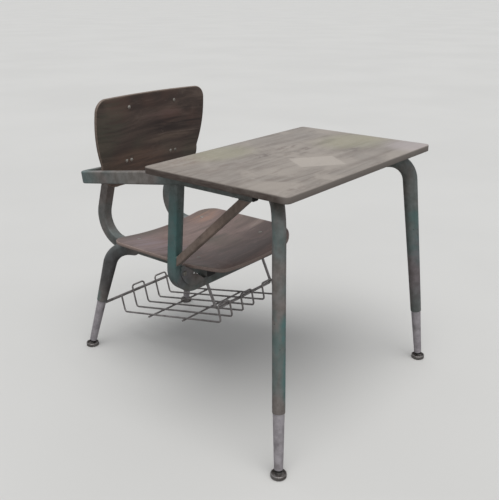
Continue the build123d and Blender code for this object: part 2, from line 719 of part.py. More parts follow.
for side in ("right", "left"):
    leg = legs[f"front_{side}"]
    knee = leg.reach(leg.line_z)
    middle = leg.plane.from_local_coords(Vector(knee + LEG_PLATE_REACH, plate_level, 0))
    plate_plane = Plane(origin=middle, x_dir=leg.plane.x_dir, z_dir=(0, 0, 1))
    screw_spots = GridLocations(*SCREW_SPACING, 2, 2).local_locations
    with BuildPart() as leg_plate:
        with BuildSketch(plate_plane):
            RectangleRounded(*LEG_PLATE, LEG_PLATE_CORNER)
            with GridLocations(*SCREW_SPACING, 2, 2):
                Circle(SCREW_HOLE_R, mode=Mode.SUBTRACT)
        extrude(amount=PLATE - FIT)
    put(leg_plate.part, f"leg_plate_{side}")
    for spot in screw_spots:
        at = plate_plane.from_local_coords(spot.position)
        screws.append(screw(at.X, at.Y, plate_level - FIT, PLATE - FIT))

for y in ARM_SCREWS_Y:
    screws.append(screw(ARM_DESK_X, y, DESK_UNDERSIDE_Z - ARM_HEIGHT - FIT, 0))
put(Compound(children=screws), "desk_screws")

# ---------------------------------------------------------------- book basket
wire_xs = [(i - (WIRE_COUNT - 1) / 2) * WIRE_PITCH for i in range(WIRE_COUNT)]


def wall_y(z, low, high):
    """Where a basket wall's centre line stands at a height."""
    return low[0] + (z - low[1]) * (high[0] - low[0]) / (high[1] - low[1])


rear_rod_y = wall_y(REAR_ROD_Z, BASKET_REAR, BASKET_REAR_TOP) + WIRE_R + REAR_ROD_R + WIRE_GAP
front_rod_y = wall_y(FRONT_ROD_Z, BASKET_FRONT, BASKET_FRONT_TOP) + WIRE_R + FRONT_ROD_R + WIRE_GAP


def serpentine_points():
    """One wire from the right side to the left: down, along, up, across, and back again."""
    start_z = REAR_ROD_Z + REAR_ROD_R
    points = []
    for index, x in enumerate(wire_xs):
        rear_top = Vector(x, *BASKET_REAR_TOP)
        if index in (0, WIRE_COUNT - 1):
            rear_top = Vector(x, wall_y(start_z, BASKET_REAR, BASKET_REAR_TOP), start_z)
        run = [rear_top, Vector(x, *BASKET_REAR), Vector(x, *BASKET_FRONT), Vector(x, *BASKET_FRONT_TOP)]
        points += run if index % 2 == 0 else run[::-1]
    return points


with BuildPart() as basket_wire:
    with BuildLine():
        wire_path = FilletPolyline(*serpentine_points(), radius=WIRE_BEND_R)
    with BuildSketch(path_start(wire_path, (1, 0, 0))):
        Circle(WIRE_R)
    sweep(path=wire_path)

put(basket_wire.part, "basket_wire")

with BuildPart() as basket_rear_rod:
    with BuildSketch(Plane.YZ):
        with Locations((rear_rod_y, REAR_ROD_Z)):
            Circle(REAR_ROD_R)
    extrude(amount=ROD_REACH, both=True)
    for side in ("rear_right", "rear_left"):
        # the rod stops where it is welded to the legs
        leg = legs[side]
        with BuildSketch(leg.frame(REAR_ROD_Z - CUT_MARGIN)):
            Circle(LEG_WIDTH / 2 + SLIVER)
        extrude(amount=2 * CUT_MARGIN, mode=Mode.SUBTRACT)
rod_middle = basket_rear_rod.part.solids().sort_by(SortBy.VOLUME)[-1]
put(rod_middle, "basket_rear_rod")

hanger_top_y = CROSS_RAIL_Y + HANGER_SETBACK
hanger_x = wire_xs[-1] + 1
with BuildPart() as basket_front_rod:
    with BuildLine():
        hanger_top_z = cross_rail_z - cross_half_height - FIT
        hanger_path = FilletPolyline(
            (-hanger_x, hanger_top_y, hanger_top_z + FRONT_ROD_R),
            (-hanger_x, front_rod_y, FRONT_ROD_Z),
            (hanger_x, front_rod_y, FRONT_ROD_Z),
            (hanger_x, hanger_top_y, hanger_top_z + FRONT_ROD_R),
            radius=ROD_BEND_R,
        )
    with BuildSketch(path_start(hanger_path, (1, 0, 0))):
        Circle(FRONT_ROD_R)
    sweep(path=hanger_path)
    split(bisect_by=Plane.XY.offset(hanger_top_z), keep=Keep.BOTTOM)

put(basket_front_rod.part, "basket_front_rod")

floor_slope = (BASKET_FRONT[1] - BASKET_REAR[1]) / (BASKET_FRONT[0] - BASKET_REAR[0])
for number, y in enumerate(CROSS_WIRE_Y, start=1):
    floor_z = BASKET_REAR[1] + (y - BASKET_REAR[0]) * floor_slope
    drop = (2 * WIRE_R + WIRE_GAP) / cos(atan(floor_slope))
    with BuildPart() as cross_wire:
        with BuildSketch(Plane.YZ):
            with Locations((y, floor_z - drop)):
                Circle(WIRE_R)
        extrude(amount=wire_xs[-1] + CROSS_WIRE_END, both=True)
        fillet(cross_wire.faces().filter_by(GeomType.PLANE).edges(), radius=SMALL_FILLET)
    put(cross_wire.part, f"basket_cross_wire_{number}")
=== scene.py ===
"""Looks of the combination classroom desk and chair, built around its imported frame.

The welded tubes, wires, plugs and glides are the frame's own meshes with worn finishes.
The moulded plywood, the desktop's skin and the welds are made here, in metres.
"""
import json
import math

import bmesh
import bpy
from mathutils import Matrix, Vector, noise
from mathutils.bvhtree import BVHTree


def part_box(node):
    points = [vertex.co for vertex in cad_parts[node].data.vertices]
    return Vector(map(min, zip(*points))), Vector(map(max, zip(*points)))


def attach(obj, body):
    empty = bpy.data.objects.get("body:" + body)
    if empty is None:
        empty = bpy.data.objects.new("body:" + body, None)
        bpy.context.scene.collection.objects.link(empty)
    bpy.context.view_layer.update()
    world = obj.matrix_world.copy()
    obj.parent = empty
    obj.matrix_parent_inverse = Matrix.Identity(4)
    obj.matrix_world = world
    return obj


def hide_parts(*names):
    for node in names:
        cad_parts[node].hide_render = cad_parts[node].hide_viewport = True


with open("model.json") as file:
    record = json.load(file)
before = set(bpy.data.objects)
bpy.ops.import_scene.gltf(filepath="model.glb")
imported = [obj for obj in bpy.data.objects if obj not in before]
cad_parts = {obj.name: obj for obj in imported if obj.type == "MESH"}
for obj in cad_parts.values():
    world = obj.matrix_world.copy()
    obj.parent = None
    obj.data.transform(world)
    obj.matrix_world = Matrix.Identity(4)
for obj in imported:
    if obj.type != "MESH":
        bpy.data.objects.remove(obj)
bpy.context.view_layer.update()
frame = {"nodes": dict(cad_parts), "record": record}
nodes = frame["nodes"]
BODY = "frame"

# ---------------------------------------------------------------- sizes of the remade pieces
SEAT_PLY = 0.009
SEAT_DISH_R = 1.1                 # side to side hollow
SEAT_FRONT_ROLL = (0.095, 28.0)   # radius and angle of the rolled front edge
SEAT_REAR_ROLL = (0.160, 8.0)
SEAT_FRONT_CORNER = 0.084
SEAT_REAR_CORNER = 0.050
BACK_PLY = 0.008
BACK_CURVE_R = 2.5
BACK_LEAN = math.radians(5.0)
EDGE_ROUND = 0.0026
EDGE_ANGLES = (0, 22.5, 45, 67.5, 90)
OUTLINE_POINTS = 300              # around each plywood sheet
FILL_RINGS = 22                   # from a sheet's middle to its rim
RING_CROWDING = 0.85              # under 1 sets the rings closer towards the rim
DESK_CORNERS = (0.014, 0.009)     # front and rear
BAND_WIDTH = 0.0015
SEAM_GAP = 0.0002                 # between the edge moulding and the laminate
RAIL_HALF = 0.014
WIRE_PITCH = 0.046
WIRE_COUNT = 6


# ---------------------------------------------------------------- mesh helpers
def link(name, mesh):
    """Put a mesh in the scene, smooth, as a new object."""
    piece = bpy.data.objects.new(name, mesh)
    bpy.context.scene.collection.objects.link(piece)
    mesh.shade_smooth()
    return piece


def made_piece(name, shape):
    """Turn a finished bmesh into a piece in the scene."""
    bmesh.ops.recalc_face_normals(shape, faces=shape.faces)
    mesh = bpy.data.meshes.new(name)
    shape.to_mesh(mesh)
    shape.free()
    return link(name, mesh)


def bridge(shape, low, high):
    """Faces between two closed rows with the same number of points."""
    for i in range(len(low)):
        j = (i + 1) % len(low)
        shape.faces.new((low[i], low[j], high[j], high[i]))


def arc(centre, radius, start, turn, steps):
    """Points of a flat arc; angles in degrees."""
    points = []
    for i in range(steps + 1):
        angle = math.radians(start + turn * i / steps)
        points.append(Vector((centre[0] + radius * math.cos(angle), centre[1] + radius * math.sin(angle))))
    return points


def rounded_rectangle(low, high, low_r, high_r, steps=12):
    """Closed outline, anticlockwise, with one radius at the low-y corners and one at the high-y."""
    points = arc((high[0] - low_r, low[1] + low_r), low_r, -90, 90, steps)
    points += arc((high[0] - high_r, high[1] - high_r), high_r, 0, 90, steps)
    points += arc((low[0] + high_r, high[1] - high_r), high_r, 90, 90, steps)
    points += arc((low[0] + low_r, low[1] + low_r), low_r, 180, 90, steps)
    return points


def resampled(points, count):
    """The same closed outline with evenly spaced points."""
    lengths = [(points[(i + 1) % len(points)] - p).length for i, p in enumerate(points)]
    step = sum(lengths) / count
    result, edge, along = [], 0, 0.0
    for i in range(count):
        target = i * step
        while along + lengths[edge] < target:
            along += lengths[edge]
            edge += 1
        start, end = points[edge], points[(edge + 1) % len(points)]
        result.append(start.lerp(end, (target - along) / lengths[edge]))
    return result


def inset(points, distance):
    """Closed anticlockwise outline moved inwards."""
    moved = []
    for i, point in enumerate(points):
        along = points[(i + 1) % len(points)] - points[i - 1]
        moved.append(point + Vector((-along.y, along.x)).normalized() * distance)
    return moved


def lofted(name, rings, capped=True):
    """Mesh through closed rings of 3D points, with flat caps on the first and last."""
    shape = bmesh.new()
    rows = [[shape.verts.new(point) for point in ring] for ring in rings]
    for low, high in zip(rows, rows[1:]):
        bridge(shape, low, high)
    if capped:
        shape.faces.new(rows[0][::-1])
        shape.faces.new(rows[-1])
    return made_piece(name, shape)


def plywood_sheet(name, outline, ply, place):
    """Moulded sheet with rounded edges.

    place(u, v, t) puts a point of the flat outline on the moulded surface, t through the ply.
    Two attributes go with it for the material: how deep in the ply a point is, and whether it
    is on the edge.
    """
    middle = sum(outline, Vector((0, 0))) / len(outline)
    shape = bmesh.new()
    depth = shape.verts.layers.float.new("ply_depth")
    edge = shape.verts.layers.float.new("ply_edge")

    def add_ring(flat, t, on_edge):
        row = []
        for point in flat:
            vert = shape.verts.new(place(point.x, point.y, t))
            vert[depth], vert[edge] = t / ply, on_edge
            row.append(vert)
        return row

    def fill_ring(k, t):
        share = (k / FILL_RINGS) ** RING_CROWDING
        return add_ring([middle.lerp(point, share) for point in rim], t, 0.0)

    upper = []
    for degrees in EDGE_ANGLES:
        angle = math.radians(degrees)
        upper.append((EDGE_ROUND * (1 - math.sin(angle)), ply - EDGE_ROUND * (1 - math.cos(angle))))
    lower = [(across, ply - t) for across, t in reversed(upper)]
    rim = inset(outline, EDGE_ROUND)
    rows = [fill_ring(k, ply) for k in range(1, FILL_RINGS)]
    for across, t in upper + [(0.0, ply * 0.5)] + lower:
        on_edge = 1.0 if across < EDGE_ROUND * 0.9 else 0.0
        rows.append(add_ring(inset(outline, across), t, on_edge))
    rows += [fill_ring(k, 0.0) for k in range(FILL_RINGS - 1, 0, -1)]
    for low, high in zip(rows, rows[1:]):
        bridge(shape, low, high)
    for row, t in ((rows[0], ply), (rows[-1], 0.0)):
        hub = shape.verts.new(place(middle.x, middle.y, t))
        hub[depth] = t / ply
        for i in range(len(row)):
            shape.faces.new((row[i], row[(i + 1) % len(row)], hub))
    return made_piece(name, shape)


# ---------------------------------------------------------------- plywood seat and back
def make_seat():
    """Seat sheet, dished from side to side, with its front rolled down and its rear up."""
    low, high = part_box("seat_shell")
    front_r, front_angle = SEAT_FRONT_ROLL[0], math.radians(SEAT_FRONT_ROLL[1])
    rear_r, rear_angle = SEAT_REAR_ROLL[0], math.radians(SEAT_REAR_ROLL[1])
    front_flat = low.y + front_r * math.sin(front_angle)
    rear_flat = high.y - rear_r * math.sin(rear_angle)
    front_drop = front_r * (1 - math.cos(front_angle))
    middle_z = low.z + front_drop

    def place(x, y, t):
        z = middle_z + x**2 / (2 * SEAT_DISH_R)
        if y < front_flat:
            z -= front_r - math.sqrt(front_r**2 - (front_flat - y) ** 2)
        if y > rear_flat:
            z += rear_r - math.sqrt(rear_r**2 - (y - rear_flat) ** 2)
        return Vector((x, y, z + t))

    outline = rounded_rectangle(low, high, SEAT_FRONT_CORNER, SEAT_REAR_CORNER)
    seat = plywood_sheet("seat_plywood", resampled(outline, OUTLINE_POINTS), SEAT_PLY, place)
    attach(seat, BODY)
    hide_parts("seat_shell")
    return seat


def three_point_arc(start, through, end, steps=20):
    """Points of the flat arc through three points, without its last one."""
    ax, ay, bx, by, cx, cy = *start, *through, *end
    d = 2 * (ax * (by - cy) + bx * (cy - ay) + cx * (ay - by))
    a2, b2, c2 = ax**2 + ay**2, bx**2 + by**2, cx**2 + cy**2
    ux = (a2 * (by - cy) + b2 * (cy - ay) + c2 * (ay - by)) / d
    uy = (a2 * (cx - bx) + b2 * (ax - cx) + c2 * (bx - ax)) / d
    radius = math.hypot(ax - ux, ay - uy)
    first = math.atan2(ay - uy, ax - ux)
    turn = math.atan2(cy - uy, cx - ux) - first
    turn = (turn + math.pi) % (2 * math.pi) - math.pi
    return [Vector((ux + radius * math.cos(first + turn * i / steps),
                    uy + radius * math.sin(first + turn * i / steps))) for i in range(steps)]


def make_back():
    """Backrest sheet, leaning back and hollow towards the sitter."""
    low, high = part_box("backrest_shell")
    top, bottom, half = high.z, low.z, high.x
    # the front face stands furthest back at the sheet's bottom middle
    bottom_face_y = high.y - BACK_PLY / math.cos(BACK_LEAN)

    def place(x, z, t):
        y = bottom_face_y - (z - bottom) * math.tan(BACK_LEAN) - x**2 / (2 * BACK_CURVE_R)
        return Vector((x, y + t, z))

    foot, hip = (0.118, bottom + 0.001), (0.181, bottom + 0.068)
    shoulder, crown_end = (half, top - 0.038), (0.164, top - 0.002)
    side = three_point_arc(foot, (0.160, bottom + 0.012), hip)
    side += three_point_arc(hip, (half - 0.0023, bottom + 0.134), shoulder)
    side += three_point_arc(shoulder, (half - 0.011, top - 0.012), crown_end)
    crown = three_point_arc(crown_end, (0.0, top), (-crown_end[0], crown_end[1]))
    mirrored = [Vector((-p.x, p.y)) for p in reversed(side)]
    outline = side + crown + mirrored
    back = plywood_sheet("back_plywood", resampled(outline, OUTLINE_POINTS), BACK_PLY, place)
    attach(back, BODY)
    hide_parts("backrest_shell")
    return back


# ---------------------------------------------------------------- desktop skin
def make_desktop():
    """The desktop's laminate sheet, and the plastic moulding around its edge."""
    low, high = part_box("desk_laminate")
    board_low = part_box("desk_core")[0]
    outline = rounded_rectangle(low, high, *DESK_CORNERS, steps=16)
    bottom, top = board_low.z, high.z

    def ring(across, z):
        return [Vector((p.x, p.y, z)) for p in inset(outline, across)]

    # each profile lists how far in from the outline, and how high
    seam = BAND_WIDTH + SEAM_GAP
    sheet = [(seam, low.z - 0.0004), (seam, top - 0.0007), (seam + 0.0002, top - 0.0003),
             (seam + 0.0007, top - 0.0001), (seam + 0.004, top)]
    skin = lofted("desk_laminate_sheet", [ring(*spot) for spot in sheet])
    band = [(BAND_WIDTH, bottom + 0.0002), (0.0009, bottom), (0.0003, bottom + 0.0005),
            (0.0, bottom + 0.0016), (0.0, top - 0.0018), (0.0003, top - 0.0007),
            (0.0008, top - 0.0002), (0.0012, top - 0.0001), (BAND_WIDTH, top - 0.0006)]
    edge = lofted("desk_edge_moulding", [ring(*spot) for spot in band + band[:1]], capped=False)
    bpy.context.view_layer.update()
    for piece, node, slot in ((skin, "desk_laminate", "desk_laminate"),
                              (edge, "desk_edge_band", "edge_band")):
        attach(piece, BODY)
        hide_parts(node)
    return skin, edge


# ---------------------------------------------------------------- welds
MERGE_DISTANCE = 1e-5
SHARP_EDGE = 0.6              # angle between an edge's faces
FEWEST_LOOP_EDGES = 8
TUBE_WELD = (0.006, 0.0022)   # how far a rim may stand from what it's welded to; the bead's radius
ROD_WELD = (0.003, 0.0013)
WELD_STEP = 0.001
RIPPLE_PITCH = 0.0032
RIPPLE_STEPS = 4
RIPPLE_DEPTH = 0.14
UNEVENNESS = 0.18
LUMPS_PER_METRE = 90
RING_SIDES = 10
CROSSING_INSET = 0.004        # of a crossing's bead from the cross rail's sides
CROSSING_DROP = 0.0003        # of the bead's middle below the plugs
TACK_HALF_SIZES = (0.0034, 0.0030, 0.0021)
TACK_UNEVENNESS = 0.25


def welded_copy(node):
    """Working copy of a node's mesh with its split corners merged."""
    shape = bmesh.new()
    shape.from_mesh(nodes[node].data)
    bmesh.ops.remove_doubles(shape, verts=shape.verts, dist=MERGE_DISTANCE)
    return shape


def end_loops(shape):
    """Closed loops of sharp edges, each as an ordered list of points."""
    shape.edges.index_update()
    sharp = {edge.index: edge for edge in shape.edges
             if len(edge.link_faces) == 2 and edge.calc_face_angle() > SHARP_EDGE}
    loops = []
    while sharp:
        # the lowest number first, so that each run goes round the same way
        start, here = sharp.pop(min(sharp)).verts
        path = [start.co.copy(), here.co.copy()]
        while here is not start:
            onward = [edge for edge in here.link_edges if edge.index in sharp]
            if not onward:
                break
            here = sharp.pop(onward[0].index).other_vert(here)
            path.append(here.co.copy())
        if here is start and len(path) > FEWEST_LOOP_EDGES:
            loops.append(path[:-1])
    return loops


def evenly(points, spacing, closed):
    """Evenly spaced points along a path in space."""
    path = points + points[:1] if closed else points
    lengths = [(b - a).length for a, b in zip(path, path[1:])]
    count = max(3, round(sum(lengths) / spacing))
    result, edge, along = [], 0, 0.0
    for i in range(count if closed else count + 1):
        target = sum(lengths) * i / count
        while edge < len(lengths) - 1 and along + lengths[edge] < target:
            along += lengths[edge]
            edge += 1
        share = min(1.0, (target - along) / max(lengths[edge], 1e-9))
        result.append(path[edge].lerp(path[edge + 1], share))
    return result


def bead(shape, points, radius, closed):
    """Rippled weld bead along a path, added to a mesh being built."""
    spacing = RIPPLE_PITCH / RIPPLE_STEPS
    path = evenly(points, spacing, closed)
    count = len(path)
    rows = []
    for i, point in enumerate(path):
        before = path[i - 1] if closed or i else point
        after = path[(i + 1) % count] if closed or i < count - 1 else point
        along = (after - before).normalized()
        side = along.orthogonal().normalized()
        if rows:
            side = (last_side - along * last_side.dot(along)).normalized()
        last_side = side
        up = along.cross(side)
        ripple = 1 - RIPPLE_DEPTH * (1 - abs(math.sin(math.pi * i * spacing / RIPPLE_PITCH)))
        size = radius * ripple * (1 + UNEVENNESS * noise.noise(point * LUMPS_PER_METRE))
        if not closed:
            # an open bead tapers over its first and last rings
            size *= min(1.0, 0.45 + 0.3 * min(i, count - 1 - i))
        row = []
        for k in range(RING_SIDES):
            angle = 2 * math.pi * k / RING_SIDES
            row.append(shape.verts.new(point + (side * math.cos(angle) + up * math.sin(angle)) * size))
        rows.append(row)
    pairs = list(zip(rows, rows[1:]))
    if closed:
        # the last ring meets the first where their sides line up best
        turns = [rows[0][k:] + rows[0][:k] for k in range(RING_SIDES)]
        nearest = min(turns, key=lambda row: sum((a.co - b.co).length for a, b in zip(rows[-1], row)))
        pairs.append((rows[-1], nearest))
    else:
        shape.faces.new(rows[0][::-1])
        shape.faces.new(rows[-1])
    for low, high in pairs:
        bridge(shape, low, high)


def end_weld_path(node, other, reach):
    """Where the end of one tube meets another piece: halfway between its rim and that piece."""
    target = welded_copy(other)
    surface = BVHTree.FromBMesh(target)
    tube = welded_copy(node)
    best, best_size = None, 0.0
    for loop in end_loops(tube):
        distance = sum(surface.find_nearest(point)[3] for point in loop) / len(loop)
        size = max((point - loop[0]).length for point in loop)
        if distance <= reach and size > best_size:
            spots = evenly(loop, WELD_STEP, True)
            best = [spot.lerp(surface.find_nearest(spot)[0], 0.5) for spot in spots]
            best_size = size
    target.free()
    tube.free()
    return best


def make_welds():
    """Beads where tubes and rods end on other tubes, and where the seat rails cross the cross rail."""
    shape = bmesh.new()
    for node, other, (reach, radius) in (("post_cross_rail", "arm_rail", TUBE_WELD),
                                         ("diagonal_brace", "post_cross_rail", TUBE_WELD),
                                         ("diagonal_brace", "arm_rail", TUBE_WELD),
                                         ("arm_rail", "seat_rail_right", TUBE_WELD),
                                         ("basket_front_rod", "post_cross_rail", ROD_WELD)):
        path = end_weld_path(node, other, reach)
        if path:
            bead(shape, path, radius, True)
    cross_low, cross_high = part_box("cross_rail_plug")
    rail_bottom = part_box("rail_plug_left")[0].z - CROSSING_DROP
    for side in ("right", "left"):
        low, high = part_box(f"rail_plug_{side}")
        middle_x = (low.x + high.x) / 2
        for edge_x in (middle_x - RAIL_HALF, middle_x + RAIL_HALF):
            start = Vector((edge_x, cross_low.y + CROSSING_INSET, rail_bottom))
            end = Vector((edge_x, cross_high.y - CROSSING_INSET, rail_bottom))
            bead(shape, [start, end], TUBE_WELD[1], False)
    welds = made_piece("frame_welds", shape)
    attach(welds, BODY)
    return welds


def make_tacks():
    """Small spot welds where the basket's wires cross its rods."""
    shape = bmesh.new()
    crossings = []
    for name in ("basket_cross_wire_1", "basket_cross_wire_2", "basket_rear_rod"):
        low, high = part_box(name)
        centre = (low + high) / 2
        lift = (high.z - low.z) / 2
        for i in range(WIRE_COUNT):
            x = (i - (WIRE_COUNT - 1) / 2) * WIRE_PITCH
            if name == "basket_rear_rod":
                crossings.append(Vector((x, centre.y - lift, centre.z)))
            else:
                crossings.append(Vector((x, centre.y, centre.z + lift)))
    for number, spot in enumerate(crossings):
        made = bmesh.ops.create_icosphere(shape, subdivisions=3, radius=1.0)
        for vert in made["verts"]:
            rough = 1 + TACK_UNEVENNESS * noise.noise(vert.co * 1.7 + Vector((number * 3.1, 0, 0)))
            vert.co = spot + Vector([c * half for c, half in zip(vert.co, TACK_HALF_SIZES)]) * rough
    tacks = made_piece("basket_spot_welds", shape)
    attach(tacks, BODY)
    return tacks


# ---------------------------------------------------------------- material graph helpers
def srgb(*display):
    """Linear colour from 8-bit display values."""
    linear = [((c / 255 + 0.055) / 1.055) ** 2.4 if c > 10 else c / 255 / 12.92 for c in display]
    return (*linear, 1.0)


class Graph:
    """Short names for the nodes of one material."""

    def __init__(self, name):
        self.material = bpy.data.materials.new(name)
        self.material.use_nodes = True
        self.tree = self.material.node_tree
        self.shader = self.tree.nodes["Principled BSDF"]
        self.place = self.new("ShaderNodeTexCoord").outputs["Object"]

    def new(self, kind, **settings):
        """A new shader node with some of its settings changed."""
        made = self.tree.nodes.new(kind)
        for key, value in settings.items():
            setattr(made, key, value)
        return made

    def put(self, socket, value):
        """Link another node's output to a socket, or set the socket's own value."""
        if isinstance(value, bpy.types.NodeSocket):
            self.tree.links.new(value, socket)
        else:
            socket.default_value = value

    def stretched(self, scale, offset=(0, 0, 0), turn=(0, 0, 0), source=None):
        """Object coordinates, or another vector, scaled separately along each axis."""
        made = self.new("ShaderNodeMapping")
        self.put(made.inputs["Vector"], self.place if source is None else source)
        made.inputs["Scale"].default_value = scale
        made.inputs["Location"].default_value = offset
        made.inputs["Rotation"].default_value = turn
        return made.outputs["Vector"]

    def noise(self, where, scale=1.0, detail=4.0, rough=0.55, distortion=0.0):
        """Fractal noise, mostly from 0.3 to 0.7."""
        made = self.new("ShaderNodeTexNoise")
        self.put(made.inputs["Vector"], where)
        made.inputs["Scale"].default_value = scale
        made.inputs["Detail"].default_value = detail
        made.inputs["Roughness"].default_value = rough
        made.inputs["Distortion"].default_value = distortion
        return made.outputs["Fac"]

    def range(self, value, low, high, to_low=0.0, to_high=1.0):
        """A value carried smoothly from one range to another, and held at its ends."""
        made = self.new("ShaderNodeMapRange", interpolation_type="SMOOTHSTEP")
        self.put(made.inputs["Value"], value)
        for key, number in (("From Min", low), ("From Max", high), ("To Min", to_low), ("To Max", to_high)):
            made.inputs[key].default_value = number
        return made.outputs["Result"]

    def math(self, operation, a, b=0.0):
        """One step of arithmetic on two values."""
        made = self.new("ShaderNodeMath", operation=operation)
        self.put(made.inputs[0], a)
        self.put(made.inputs[1], b)
        return made.outputs[0]

    def mix(self, share, a, b, blend="MIX"):
        """Colour a where share is 0, going over to b where it is 1."""
        made = self.new("ShaderNodeMix", data_type="RGBA", blend_type=blend)
        self.put(made.inputs["Factor"], share)
        self.put(made.inputs[6], a)
        self.put(made.inputs[7], b)
        return made.outputs[2]

    def along(self, axis):
        """One of the object coordinates: "X", "Y" or "Z"."""
        split = self.new("ShaderNodeSeparateXYZ")
        self.put(split.inputs[0], self.place)
        return split.outputs[axis]

    def attribute(self, name):
        """A value stored with the mesh's points."""
        return self.new("ShaderNodeAttribute", attribute_name=name).outputs["Fac"]

    def blob(self, centre, radii):
        """1 in the middle of a soft ellipsoid in space, 0 outside it."""
        shifted = self.new("ShaderNodeVectorMath", operation="SUBTRACT")
        self.put(shifted.inputs[0], self.place)
        shifted.inputs[1].default_value = centre
        scaled = self.new("ShaderNodeVectorMath", operation="DIVIDE")
        self.put(scaled.inputs[0], shifted.outputs[0])
        scaled.inputs[1].default_value = radii
        length = self.new("ShaderNodeVectorMath", operation="LENGTH")
        self.put(length.inputs[0], scaled.outputs[0])
        return self.range(length.outputs["Value"], 1.0, 0.35)

    def worn_edge(self, radius=0.0025):
        """Near 1 on convex and concave edges, 0 on flats."""
        rounded = self.new("ShaderNodeBevel", samples=4)
        rounded.inputs["Radius"].default_value = radius
        plain = self.new("ShaderNodeNewGeometry").outputs["Normal"]
        dot = self.new("ShaderNodeVectorMath", operation="DOT_PRODUCT")
        self.put(dot.inputs[0], rounded.outputs[0])
        self.put(dot.inputs[1], plain)
        return self.range(dot.outputs["Value"], 0.985, 0.90)

    def specks(self, density, size, share):
        """Scattered small spots: 1 inside a spot.  share is how many cells have one."""
        cells = self.new("ShaderNodeTexVoronoi", feature="F1")
        self.put(cells.inputs["Vector"], self.place)
        cells.inputs["Scale"].default_value = density
        inside = self.range(cells.outputs["Distance"], size, size * 0.5)
        chosen = self.new("ShaderNodeSeparateColor")
        self.put(chosen.inputs[0], cells.outputs["Color"])
        picked = self.math("LESS_THAN", chosen.outputs[0], share)
        return self.math("MULTIPLY", inside, picked)

    def bump(self, height, strength, distance, normal=None):
        """Surface direction from a height, on top of an earlier bump if one is given."""
        made = self.new("ShaderNodeBump")
        self.put(made.inputs["Height"], height)
        made.inputs["Strength"].default_value = strength
        made.inputs["Distance"].default_value = distance
        if normal is not None:
            self.put(made.inputs["Normal"], normal)
        return made.outputs["Normal"]

    def finish(self, color, roughness, normal=None, **sockets):
        """Connect the shader and return the material."""
        self.put(self.shader.inputs["Base Color"], color)
        self.put(self.shader.inputs["Roughness"], roughness)
        if normal is not None:
            self.put(self.shader.inputs["Normal"], normal)
        for key, value in sockets.items():
            self.put(self.shader.inputs[key.replace("_", " ")], value)
        return self.material


# ---------------------------------------------------------------- materials
def enamel(name, warm, cool, teal, spots, shades=()):
    """Old brushed enamel: two greys, an older blue-green showing through, chips and grime.

    spots say where the old coat shows; shades are patches of another grey, some of them painted shadow.
    """
    g = Graph(name)
    broad = g.noise(g.place, 7.0, 3.0)
    color = g.mix(g.range(broad, 0.40, 0.62), warm, cool)
    # patches of another grey, among them painted shadow on the rear legs
    for centre, radii, shade, strength in shades:
        color = g.mix(g.math("MULTIPLY", g.blob(centre, radii), strength), color, shade)
    mottle = g.noise(g.place, 48.0, 6.0, 0.62)
    color = g.mix(g.range(mottle, 0.34, 0.68), color, g.mix(1.0, color, srgb(216, 213, 210), "MULTIPLY"))
    patchy = g.range(g.noise(g.place, 4.3, 4.0, 0.6, 0.8), 0.56, 0.68, 0.0, 0.55)
    for centre, radii, strength in spots:
        spot = g.math("MULTIPLY", g.blob(centre, radii), strength)
        patchy = g.math("MAXIMUM", patchy, spot)
    breakup = g.range(g.noise(g.place, 26.0, 5.0, 0.65), 0.36, 0.55, 0.62, 1.0)
    old = g.math("MULTIPLY", patchy, breakup)
    color = g.mix(old, color, teal)
    scratch = g.noise(g.stretched((140, 140, 9), turn=(0.35, 0.2, 0)), 3.0, 2.0)
    scratched = g.range(scratch, 0.66, 0.72, 0.0, 0.35)
    color = g.mix(scratched, color, srgb(150, 148, 142))
    chip_noise = g.noise(g.place, 160.0, 3.0, 0.6)
    edge = g.math("MULTIPLY", g.worn_edge(), g.range(chip_noise, 0.46, 0.60))
    chips = g.math("MAXIMUM", g.math("MULTIPLY", edge, 0.75), g.specks(95.0, 0.16, 0.10))
    color = g.mix(chips, color, srgb(58, 50, 45))
    grime = g.range(g.noise(g.place, 14.0, 5.0, 0.6), 0.52, 0.78, 0.0, 0.35)
    color = g.mix(grime, color, srgb(62, 56, 50))
    rough = g.range(mottle, 0.3, 0.8, 0.36, 0.60)
    skin = g.bump(g.noise(g.place, 420.0, 2.0), 0.25, 0.0004)
    skin = g.bump(g.math("SUBTRACT", 1.0, chips), 0.5, 0.0003, skin)
    return g.finish(color, rough, skin)


